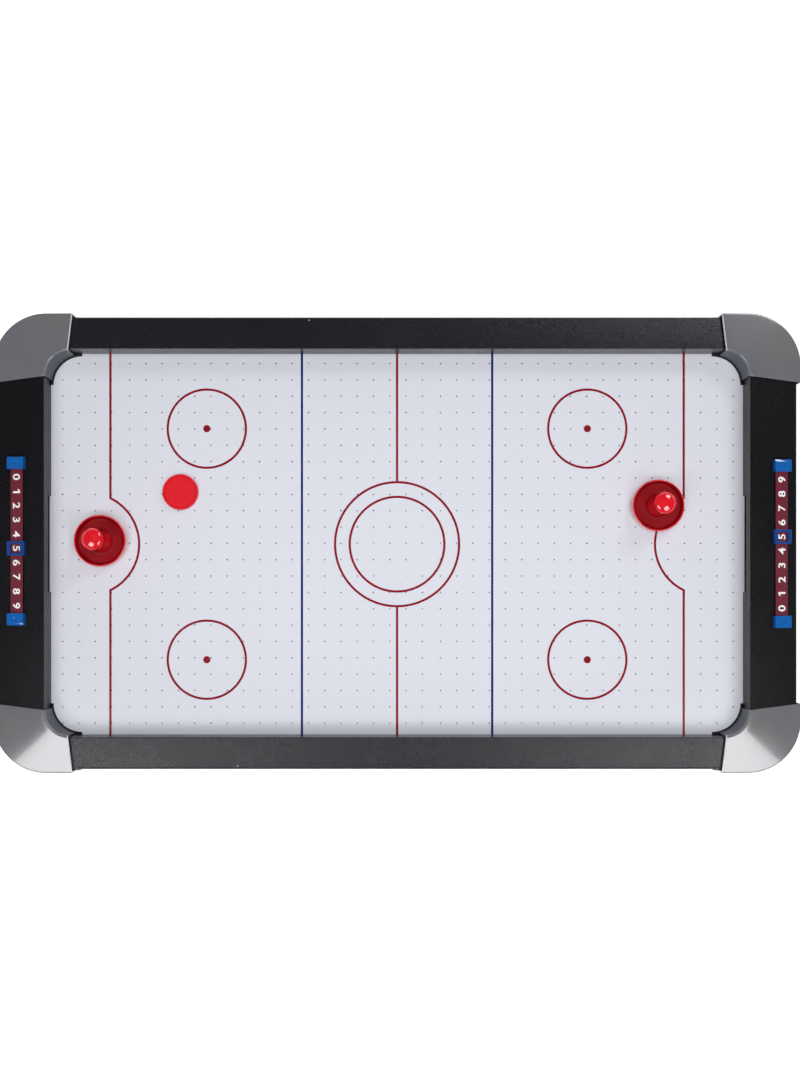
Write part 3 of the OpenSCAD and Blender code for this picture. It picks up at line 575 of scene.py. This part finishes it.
def side_rails():
    """Long rails with their seam grooves; the back one also has holes for the switch and inlet."""
    half = SIDE_HIGH.x
    for name, sign in (("side_rail_front", -1), ("side_rail_back", 1)):
        lay = Matrix(((0, 0, 1, 0), (sign, 0, 0, sign * HALF_W), (0, 1, 0, 0), (0, 0, 0, 1)))
        rail = prism(name + "_body", rail_outline(SIDE_W), -half, half, lay)
        carve(rail, [seam_groove(side, sign) for side in (-1, 1)])
        if sign > 0:
            low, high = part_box("switch_bezel")
            jack_low, jack_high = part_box("power_jack")
            inset, jack_inset = 1.0 * MM, 2.0 * MM
            switch_hole = ((low.x + inset, low.y - MM, low.z + inset),
                           (high.x - inset, high.y + MM, high.z - inset))
            jack_hole = ((jack_low.x + jack_inset, jack_low.y - MM, jack_low.z + jack_inset),
                         (jack_high.x - jack_inset, jack_high.y + MM, jack_high.z - jack_inset))
            carve(rail, [box_mesh("switch_hole", *switch_hole), box_mesh("jack_hole", *jack_hole)])
        finish_piece(rail, "table", RAIL, name, edge=0.3 * MM, sharp=35)


def end_rails():
    """End rails with the goal mouth, the pocket's room and the return opening cut through."""
    half = END_HIGH.y
    box_low, box_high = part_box("goal_box_right")
    inset, skin, under, opened = 12 * MM, 2.5 * MM, 3 * MM, 5 * MM
    pocket = box_high.y - inset
    for side, sign in ENDS.items():
        lay = Matrix(((sign, 0, 0, sign * HALF_L), (0, 0, 1, 0), (0, 1, 0, 0), (0, 0, 0, 1)))
        rail = prism(f"end_rail_{side}_body", rail_outline(END_W), -half, half, lay)

        def tool(name, a0, a1, y, z0, z1):
            x = sorted((sign * (HALF_L + a0), sign * (HALF_L + a1)))
            return box_mesh(name, (x[0], -y, z0), (x[1], y, z1))

        carve(rail, [
            tool("mouth", -opened, 4 * MM, GOAL_W / 2, Z_FIELD - under, Z_FIELD + GOAL_H),
            tool("room", skin, END_W - skin, pocket, box_low.z + 4 * MM, box_high.z),
            tool("return", END_W - 4 * MM, END_W + opened, GOAL_W / 2 - inset, box_low.z + 8 * MM,
                 Z_FIELD - under)])
        # The end rails take the darker rail black: painted shade.
        finish_piece(rail, "table", END_RAIL_SHADED, "end_rail_" + side, edge=0.35 * MM, sharp=35)


# ---------------------------------------------------------------- corners

def cap_height(a, b):
    """Height of a cap's sloping top over a point of the corner frame."""
    across, along = a + CAP_C, b + CAP_C
    reach = math.hypot(max(across, 0), max(along, 0))
    return Z_CREST - (reach - CAP_R) * FALL


def cap_outer(angle):
    """Where a ray from the inner arc's centre meets the cap's outer edge."""
    c, s = math.cos(angle), math.sin(angle)
    arc_a, arc_b = CAP_A - CORNER_R, CAP_B - CORNER_R
    if s > 0:
        d = (CAP_B + CAP_C) / s
        if -CAP_C + d * c <= arc_a:
            return Vector((-CAP_C + d * c, CAP_B))
    if c > 0:
        d = (CAP_A + CAP_C) / c
        if -CAP_C + d * s <= arc_b:
            return Vector((CAP_A, -CAP_C + d * s))
    px, py = -CAP_C - arc_a, -CAP_C - arc_b
    half_b = px * c + py * s
    d = -half_b + math.sqrt(half_b ** 2 - (px * px + py * py - CORNER_R ** 2))
    return Vector((-CAP_C + d * c, -CAP_C + d * s))


def cap_inner(angle):
    """The matching point of the inner wall: an arc, then straight past its end."""
    if angle < 0:
        return Vector((CAP_R - CAP_C, -CAP_C + CAP_R * math.tan(angle)))
    return Vector((-CAP_C + CAP_R * math.cos(angle), -CAP_C + CAP_R * math.sin(angle)))


def wall_foot(inner, u):
    """Where the inner wall, leaning inwards, meets the guard along a section's line."""
    from_c = inner + Vector((GUARD_C, GUARD_C))
    half_b = from_c.dot(u)
    return inner + u * (-half_b + math.sqrt(half_b ** 2 - from_c.length_squared + WALL_FOOT_R ** 2))


def corner_caps():
    """Grey caps: inner wall, crest, falling top, rounded edge and skirt, swept round the corner."""
    sections, crest_r, edge_r = 72, 2.0 * MM, 1.8 * MM
    lip, lip_tilt, seam_in, seam_drop = 1.4 * MM, math.radians(12), 1.6 * MM, 0.3 * MM
    wall_rows, crest_rows, top_rows, edge_rows = 6, 7, 12, 7
    start_out = math.atan2(CAP_B + CAP_C, CAP_C - SIDE_SEAM[1])
    end_out = math.atan2(CAP_C - END_SEAM[1], CAP_A + CAP_C)
    start_in = math.acos((CAP_C - SIDE_SEAM[0]) / CAP_R)
    end_in = math.atan2(CAP_C - END_SEAM[0], CAP_R)
    grid = []
    for i in range(sections + 1):
        t = i / sections
        inner = cap_inner(start_in + (end_in - start_in) * t)
        outer = cap_outer(start_out + (end_out - start_out) * t)
        u = (outer - inner).normalized()
        low = wall_foot(inner, u)
        rim = cap_height(*inner)
        drop = crest_r * (1 - math.cos(lip_tilt)) + lip * math.tan(lip_tilt)
        crest_z = rim - drop - crest_r * math.cos(lip_tilt)
        lift = (crest_z - Z_GUARD) / wall_rows
        row = [(*low.lerp(inner, k / wall_rows), Z_GUARD + 0.2 * MM + k * lift)
               for k in range(wall_rows)]
        for k in range(crest_rows):
            f = (math.pi / 2 - lip_tilt) * k / (crest_rows - 1)
            p = inner + u * crest_r * (1 - math.cos(f))
            row.append((*p, crest_z + crest_r * math.sin(f)))
        top_start = crest_r * (1 - math.sin(lip_tilt)) + lip
        span = (outer - inner).length - edge_r - top_start
        for k in range(top_rows):
            p = inner + u * (top_start + span * k / top_rows)
            row.append((*p, cap_height(*p)))
        for k in range(edge_rows):
            f = math.radians(15 * k)
            p = outer - u * edge_r * (1 - math.sin(f))
            row.append((*p, cap_height(*(outer - u * edge_r)) - edge_r * (1 - math.cos(f))))
        row += [(*outer, (CAP_LOW.z + Z_TOP) / 2), (*outer, CAP_LOW.z)]
        grid.append([Vector(v) for v in row])
    width = len(grid[0])
    for k in range(width):
        ends = grid[0][k].copy(), grid[-1][k].copy()
        for row in grid:
            near = min((row[k] - end).length for end in ends)
            if near < seam_in and row[k].z > Z_GUARD + 8 * MM:
                row[k].z -= seam_drop * (1 - near / seam_in) ** 2
    verts = [v for row in grid for v in row]
    faces = [[i * width + k, i * width + k + 1, (i + 1) * width + k + 1, (i + 1) * width + k]
             for i in range(sections) for k in range(width - 1)]
    shaded_wall_faces = {i * (width - 1) + k for i in range(sections) for k in range(wall_rows)}
    for name, (sx, sy) in CORNERS.items():
        cap = solid("cap_shell_" + name, verts, faces)
        cap.data.materials.append(CAP)
        cap.data.materials.append(CAP_WALL_SHADED)
        # The inner wall's faces take the darker cap grey: painted shade.
        for p in cap.data.polygons:
            p.material_index = 1 if p.index in shaded_wall_faces else 0
        upwards = sum(p.normal.z * p.area for p in cap.data.polygons)
        if upwards < 0:
            cap.data.flip_normals()
        shell = cap.modifiers.new("shell", "SOLIDIFY")
        shell.thickness, shell.offset, shell.use_even_offset = CAP_SHELL, -1, True
        finish_piece(cap, "table", None, "corner_cap_" + name, edge=0.3 * MM, sharp=40,
                     moved=corner_matrix(sx, sy))


def cheek_outline(seam, start, width, swap, behind):
    """Plan of the tapered cheek outside a rail's end, standing back under the cap by behind."""
    taper, tip, proud, gap = 12 * MM, 0.5 * MM, CAP_B - SIDE_W, 1 * MM
    clear, tip_at, full_at = 0.1 * MM, -seam - taper, -seam - gap
    points = [(-start, clear), (tip_at, clear), (tip_at, tip), (full_at, proud)]
    if behind:
        points.append((full_at, proud - behind))
    points.append((-start, proud - behind))
    points = [(p[0], p[1] + width) for p in points]
    return [(q, p) for p, q in points] if swap else points


def corner_brackets():
    """Black brackets: the lower corner body, the guard inside the corner, and the cheeks."""
    side_cut, end_cut, set_back, past_face = 20 * MM, 24 * MM, 2.1 * MM, 8 * MM
    skirt = CAP_LOW.z - 0.1 * MM
    arc_a, arc_b = CAP_A - CORNER_R, CAP_B - CORNER_R
    body = [(-side_cut, -end_cut), (CAP_A, -end_cut)] + arc(arc_a, arc_b, CORNER_R, 0, 90, 3)
    body.append((-side_cut, CAP_B))
    guard = [(0, 0), (-GUARD_C, 0)] + arc(-GUARD_C, -GUARD_C, GUARD_R, 90, 0, 3) + [(0, -GUARD_C)]
    blind = arc(-CAP_C, -CAP_C, CAP_C + 0.4 * MM, 88, -1, 4)
    blind += [(past_face, -end_cut), (past_face, past_face), (-side_cut, past_face)]
    sides = ((SIDE_SEAM[1], side_cut, SIDE_W, False), (END_SEAM[1], end_cut, END_W, True))
    cheeks = [(*side, behind, high)
              for behind, high in ((0, skirt), (set_back, Z_CHEEK)) for side in sides]
    for name, (sx, sy) in CORNERS.items():
        parts = [
            prism("body", body, Z_RAIL, skirt),
            prism("guard", guard, Z_FIELD + 0.05 * MM, Z_GUARD),
            prism("blind", blind, Z_FIELD, Z_TOP - 6 * MM)]
        parts += [prism("cheek", cheek_outline(*shape), Z_RAIL, high) for *shape, high in cheeks]
        sheet_room = GROOVE + 0.2 * MM
        carve(parts[0], [box_mesh("room", (-2 * GUARD_C, -2 * GUARD_C, FIELD_LOW.z - 0.1 * MM),
                                  (sheet_room, sheet_room, Z_FIELD + 0.02 * MM))])
        finish_piece(joined("bracket_" + name, parts), "table", BRACKET, "corner_bracket_" + name,
                     edge=0.35 * MM, sharp=35, moved=corner_matrix(sx, sy))


# ---------------------------------------------------------------- score counters

def score_matrix(side):
    """Frame lying on the end rail's top, with its origin at the strip's middle on the rail."""
    sign = ENDS[side]
    low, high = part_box("score_strip_" + side)
    lean = 0.17 * MM
    x = (low.x + high.x) / 2 - sign * lean
    z = Z_TOP - (abs(x) - HALF_L) * FALL
    tilt = Matrix.Rotation(sign * FALL_ANGLE, 4, "Y")
    return Matrix.Translation((x, (low.y + high.y) / 2, z)) @ tilt


def digits():
    """Printed numbers 0 to 9 on each strip; the left strip reads downwards, the right upwards."""
    size, ink, strip_h, boldness = 12.2 * MM, 0.05 * MM, 3.2 * MM, 0.019
    stretch = Matrix.Diagonal((1.18, 0.93, 1, 1))
    flagged_one = [(0.0, -0.37), (0.15, -0.37), (0.15, 0.37), (0.03, 0.37), (-0.16, 0.24),
                   (-0.16, 0.11), (0.0, 0.20)]
    for side, sign in ENDS.items():
        parts = []
        for value in range(10):
            if value == 1:
                outline = [(x * size, y * size) for x, y in flagged_one]
                number = prism("digit", outline, -ink, ink)
                mesh = number.data
                bpy.data.objects.remove(number)
            else:
                curve = bpy.data.curves.new("digit", "FONT")
                curve.body, curve.size = str(value), size
                curve.extrude, curve.offset = ink, boldness * size
                text = bpy.data.objects.new("digit", curve)
                bpy.context.scene.collection.objects.link(text)
                bpy.context.view_layer.update()
                depsgraph = bpy.context.evaluated_depsgraph_get()
                mesh = bpy.data.meshes.new_from_object(text.evaluated_get(depsgraph))
                bpy.data.objects.remove(text)
            xs, ys = [v.co.x for v in mesh.vertices], [v.co.y for v in mesh.vertices]
            middle = Vector(((min(xs) + max(xs)) / 2, (min(ys) + max(ys)) / 2, 0))
            along = sign * (value - 4.5) * DIGIT_PITCH
            turn = Matrix.Rotation(sign * math.pi / 2, 4, "Z")
            mesh.transform(Matrix.Translation((0, along, strip_h + ink)) @ turn @ stretch
                           @ Matrix.Translation(-middle))
            number = bpy.data.objects.new("digit", mesh)
            bpy.context.scene.collection.objects.link(number)
            parts.append(number)
        finish_piece(joined("digits_" + side, parts), "table", DIGIT, slot="strip_maroon",
                     moved=score_matrix(side))


def block_tools(side, where):
    """Cutters for an end block's sloping outer edge and the small dimple in its top."""
    strip_low, strip_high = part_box("score_strip_" + side)
    low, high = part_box(f"score_end_{side}_{where}")
    middle, out = (strip_low.y + strip_high.y) / 2, 1 if where == "back" else -1
    end, centre = (high.y if out > 0 else low.y) - middle, (low.y + high.y) / 2 - middle
    top, run, drop, half = 8 * MM, 2.6 * MM, 0.85 * MM, 12 * MM
    dimple_r, dimple_deep = 1.15 * MM, 1.1 * MM
    slope = [(end - out * run, top), (end + out * MM, top - drop * (1 + MM / run)),
             (end + out * MM, top + MM)]
    turn = Matrix(((0, 0, 1, 0), (1, 0, 0, 0), (0, 1, 0, 0), (0, 0, 0, 1)))
    wedge = prism("wedge", slope, -half, half, turn)
    dimple = prism("dimple", arc(0, centre, dimple_r, 0, 345, 15), top - dimple_deep, top + MM)
    for tool in (wedge, dimple):
        tool.data.transform(score_matrix(side))
    return [wedge, dimple]


def score_counters():
    """Both counters: strip, slider with its window, end blocks and digits."""
    for side in ENDS:
        refined("score_strip_" + side, MAROON, 0.25 * MM)
        refined("score_slider_" + side, SLIDER, 0.45 * MM, 3, merge=False)
        for where in ("front", "back"):
            refined(f"score_end_{side}_{where}", BLUE, 0.5 * MM, 3, tools=block_tools(side, where))
    digits()


# ---------------------------------------------------------------- mallets and puck

def mallets():
    """Lathe-turned mallets: rim, dish, tapered stem and domed knob, their points in millimetres."""
    low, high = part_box("mallet_left")
    r, top = (high.x - low.x) / 2 / MM, (high.z - low.z) / MM
    knob = top - 6.3
    rim = [(r - 2, 0), (r - 0.8, 0.9), (r - 0.25, 4), (r - 0.02, 10.2), (r - 0.4, 11.5),
           (r - 1.1, 12), (r - 1.75, 11.5), (r - 2.15, 10.2), (r - 2.7, 7.4), (r - 3.5, 5.2),
           (r - 5.2, 4.25), (r - 9, 4.2)]
    stem = [(15.6, 4.2), (13.2, 4.9), (12.0, 7), (11.2, 10.4), (10.5, 15), (9.4, 26),
            (9.0, knob - 7), (9.25, knob - 3.6)]
    bead = [(10.4, knob - 1.2), (11.75, knob + 0.1), (12.4, knob + 1.1), (12.5, knob + 1.9),
            (12.45, knob + 2.8), (12.15, knob + 3.25), (11.75, knob + 3.2)]
    dome = [(11.5, knob + 2.95), (11.1, top - 3.0), (9.4, top - 1.85), (6.6, top - 0.85),
            (3.4, top - 0.2), (0, top)]
    recess = [(0, 2.6), (r - 4, 2.6), (r - 4, 0)]
    profile = [(x * MM, z * MM) for x, z in recess + spline(rim + stem + bead) + spline(dome)]
    for side in ENDS:
        low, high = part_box("mallet_" + side)
        centre = ((low.x + high.x) / 2, (low.y + high.y) / 2)
        obj = lathe("mallet_body_" + side, profile, centre, low.z)
        obj.data.materials.append(RED)
        obj.data.materials.append(DISH_SHADED)
        for p in obj.data.polygons:
            # Faces inside the dish take the darker red: painted shade.
            reach = math.hypot(p.center.x - centre[0], p.center.y - centre[1])
            in_shaded_dish = 12.2 * MM < reach < (r - 2.0) * MM and 3 * MM < p.center.z - low.z
            p.material_index = 1 if in_shaded_dish else 0
        finish_piece(obj, body_of["mallet_" + side], None, "mallet_" + side, sharp=55)


def puck():
    """Flat puck with a shallow recess, a groove near its edge and a rounded rim."""
    low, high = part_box("puck")
    r, t, recess, groove = (high.x - low.x) / 2, high.z - low.z, 0.3 * MM, 1.0 * MM
    half = [(0, recess), (r - 3.1 * MM, recess), (r - 2.85 * MM, 0.55 * MM), (r - 2.6 * MM, groove),
            (r - 2.1 * MM, groove), (r - 1.85 * MM, 0.2 * MM), (r - 1.6 * MM, 0),
            (r - 0.8 * MM, 0), (r - 0.25 * MM, 0.22 * MM), (r, 0.8 * MM)]
    profile = half + [(x, t - z) for x, z in reversed(half)]
    obj = lathe("puck_body", profile, ((low.x + high.x) / 2, (low.y + high.y) / 2), low.z)
    finish_piece(obj, body_of["puck"], PUCK, "puck", sharp=25)


# ---------------------------------------------------------------- everything else

def dust():
    """Two specks of white dust on the long rails."""
    crumb = [(0, -0.3 * MM), (0.7 * MM, 0), (0.4 * MM, 0.35 * MM), (0, 0.45 * MM)]
    for i, (x, y) in enumerate(((-100, 253), (-181, -253))):
        z = Z_TOP - (abs(y) * MM - HALF_W) * FALL
        speck = lathe(f"speck_{i}", crumb, (x * MM, y * MM), z, 12)
        finish_piece(speck, "table", DUST, slot="rail_black")


def plain_nodes():
    """CAD nodes shown as they are, with softened corners where they can be seen."""
    soft = {"goal_box_left": BRACKET, "goal_box_right": BRACKET, "fan_grille": FAN,
            "switch_bezel": FAN, "switch_rocker": FAN}
    for node, material in soft.items():
        refined(node, material, 0.3 * MM)
    plain = {"bottom_panel": BOARD, "corner_screws": STEEL, "support_posts": RAIL,
             "post_screws": STEEL, "goal_box_screws": STEEL, "fan_screws": STEEL,
             "fan_housing": FAN, "fan_rotor": FAN, "fan_motor": COPPER, "power_jack": FAN,
             "wiring": WIRE, "mallet_pad_left": FELT, "mallet_pad_right": FELT}
    plain.update({f"foot_{c}": FOOT for c in CORNERS})
    plain.update({f"foot_pad_{c}": RUBBER for c in CORNERS})
    for node, material in plain.items():
        nodes[node].data.materials.clear()
        nodes[node].data.materials.append(material)


# ---------------------------------------------------------------- studio

def floor():
    """White ground that the table stands on."""
    t = Tree("studio_floor")
    t.set(base_color=(0.93, 0.93, 0.93), roughness=0.9, emission_color=(1, 1, 1),
          emission_strength=0.8)
    size = 6
    corners = [(-size, -size, 0), (size, -size, 0), (size, size, 0), (-size, size, 0)]
    plane = solid("studio_floor", corners, [[0, 1, 2, 3]])
    plane.data.materials.append(t.material)


def lamp(name, at, aim, size, power):
    """White area lamp that points at aim."""
    light = bpy.data.lights.new(name, "AREA")
    light.shape, light.energy = "RECTANGLE", power
    light.size, light.size_y = size
    obj = bpy.data.objects.new(name, light)
    bpy.context.scene.collection.objects.link(obj)
    obj.location = at
    obj.rotation_mode = "QUATERNION"
    obj.rotation_quaternion = (Vector(aim) - Vector(at)).to_track_quat("-Z", "Y")
    return obj


def studio():
    """Floor, four lamps, and a sky that darkens above the horizon."""
    floor()
    fill = lamp("top_fill", at=(0.0, 0.1, 2.9), aim=(0, 0, 0), size=(1.6, 1.0), power=34)
    fill.visible_glossy = False
    for side, sign in ENDS.items():
        lamp("front_" + side, at=(sign * 0.95, -0.98, 2.1), aim=(sign * 0.1, 0, 0.1),
             size=(0.90, 0.9), power=13)
    lamp("back_right", at=(1.45, 1.8, 2.1), aim=(0, 0, 0.1), size=(0.95, 0.85), power=16)
    world = bpy.data.worlds.new("studio")
    world.use_nodes = True
    sky, links = world.node_tree.nodes, world.node_tree.links
    place, split, fade = (sky.new("ShaderNode" + kind)
                          for kind in ("TexCoord", "SeparateXYZ", "MapRange"))
    links.new(place.outputs["Generated"], split.inputs[0])
    links.new(split.outputs["Z"], fade.inputs["Value"])
    fade_between, brightness = (0.18, 0.45), (0.85, 0.10)
    for key, value in zip(("From Min", "From Max", "To Min", "To Max"), fade_between + brightness):
        fade.inputs[key].default_value = value
    sky["Background"].inputs[0].default_value = (0.86, 0.90, 1.0, 1)
    links.new(fade.outputs[0], sky["Background"].inputs[1])
    bpy.context.scene.world = world
    bpy.context.scene.view_settings.view_transform = "Standard"


def camera():
    """Looks straight down from nearer the front, with the frame shifted back onto the middle."""
    towards_front, above_rails = 0.0646, 1.400
    data = bpy.data.cameras.new("photo")
    data.sensor_width, data.lens = 36, 40.8
    data.clip_start, data.clip_end = 0.05, 20
    data.shift_x, data.shift_y = 0.0027, 0.05
    obj = bpy.data.objects.new("photo", data)
    bpy.context.scene.collection.objects.link(obj)
    obj.location = (0, -towards_front, Z_TOP + above_rails)
    bpy.context.scene.camera = obj


playing_surface()
side_rails()
end_rails()
corner_caps()
corner_brackets()
score_counters()
mallets()
puck()
dust()
plain_nodes()
studio()
camera()
